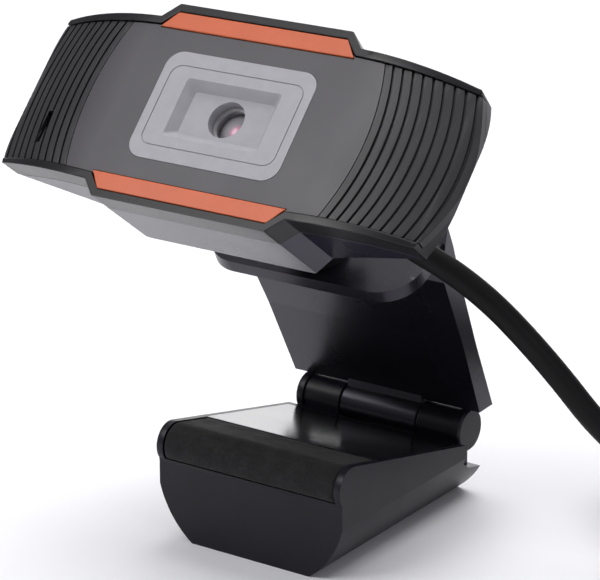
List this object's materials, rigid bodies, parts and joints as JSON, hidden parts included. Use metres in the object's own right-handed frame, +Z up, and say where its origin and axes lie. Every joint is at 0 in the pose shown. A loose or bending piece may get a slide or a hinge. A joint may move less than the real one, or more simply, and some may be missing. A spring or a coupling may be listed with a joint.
{
  "type": "webcam on clip stand",
  "caption": "Webcam with ribbed ends and a tilting, swivelling head on a folding clip stand with a padded foot and a coiled USB lead.",
  "frame": {"origin": "centre of the foot's flat underside", "axes": "+Z up; the lens and the front of the foot face -Y; +X is to the right of someone who looks at the lens"},
  "size_m": [0.1328, 0.129, 0.0875],
  "materials": {
    "foot_plastic": "satin black moulded plastic",
    "gloss_black": "high gloss black",
    "foam": "fine-celled black foam rubber",
    "screw_steel": "plain steel",
    "pin_steel": "plain steel",
    "washer_plastic": "natural nylon",
    "arm_plastic": "satin black moulded plastic",
    "neck_plastic": "fine matt black",
    "head_plastic": "satin black moulded plastic",
    "panel_plastic": "fine matt dark grey",
    "orange_trim": "smooth orange",
    "grille_plastic": "matt black ribs",
    "hood_plastic": "frosted grey",
    "barrel_black": "flat black",
    "lens_glass": "coated glass",
    "filter_glass": "coated glass",
    "sensor": "bare chip under glass",
    "board_green": "solder mask",
    "chip_black": "moulded epoxy",
    "connector_white": "natural nylon",
    "mic_metal": "drawn can",
    "grommet_rubber": "soft black moulding",
    "cable_jacket": "smooth black jacket",
    "tie_plastic": "soft black strap",
    "plug_plastic": "fine matt black moulding",
    "plug_metal": "nickel-plated steel",
    "tongue_plastic": "white insulator"
  },
  "bodies": {
    "foot": {"foot_shell": "foot_plastic", "foot_top_plate": "gloss_black", "foam_pad": "foam", "foot_screws": "screw_steel", "hinge_pin": "pin_steel", "hinge_caps": "foot_plastic", "hinge_washers": "washer_plastic"},
    "arm": {"arm_shell": "arm_plastic", "arm_cover": "arm_plastic", "arm_screws": "screw_steel"},
    "neck": {"neck_fork": "neck_plastic", "tilt_pin": "pin_steel", "tilt_washers": "washer_plastic", "swivel_screw": "screw_steel", "swivel_washer": "washer_plastic"},
    "head": {"front_bezel": "head_plastic", "rear_housing": "head_plastic", "face_panel": "panel_plastic", "trim_top": "orange_trim", "trim_bottom": "orange_trim", "grille_right": "grille_plastic", "grille_left": "grille_plastic", "lens_hood": "hood_plastic", "lens_barrel": "barrel_black", "lens_glass": "lens_glass", "lens_holder": "barrel_black", "ir_filter": "filter_glass", "image_sensor": "sensor", "main_board": "board_green", "controller_chip": "chip_black", "cable_connector": "connector_white", "microphone": "mic_metal", "board_screws": "screw_steel", "housing_screws": "screw_steel", "cable_grommet": "grommet_rubber", "usb_cable": "cable_jacket", "usb_coil": "cable_jacket", "cable_ties": "tie_plastic", "usb_cable_tail": "cable_jacket", "usb_plug_body": "plug_plastic", "usb_plug_shell": "plug_metal", "usb_plug_tongue": "tongue_plastic"}
  },
  "joints": [
    {"name": "clip_fold", "type": "hinge", "parent": "foot", "child": "arm", "pos_m": [0, 0.0179, 0.0128], "axis": [-1, 0, 0], "range_deg": [-35, 60]},
    {"name": "head_swivel", "type": "hinge", "parent": "arm", "child": "neck", "pos_m": [0, -0.00143, 0.04528], "axis": [0, -0.4478, 0.8942], "range_deg": [-25, 25]},
    {"name": "head_tilt", "type": "hinge", "parent": "neck", "child": "head", "pos_m": [0, -0.00761, 0.05762], "axis": [1, 0, 0], "range_deg": [-20, 25]}
  ]
}
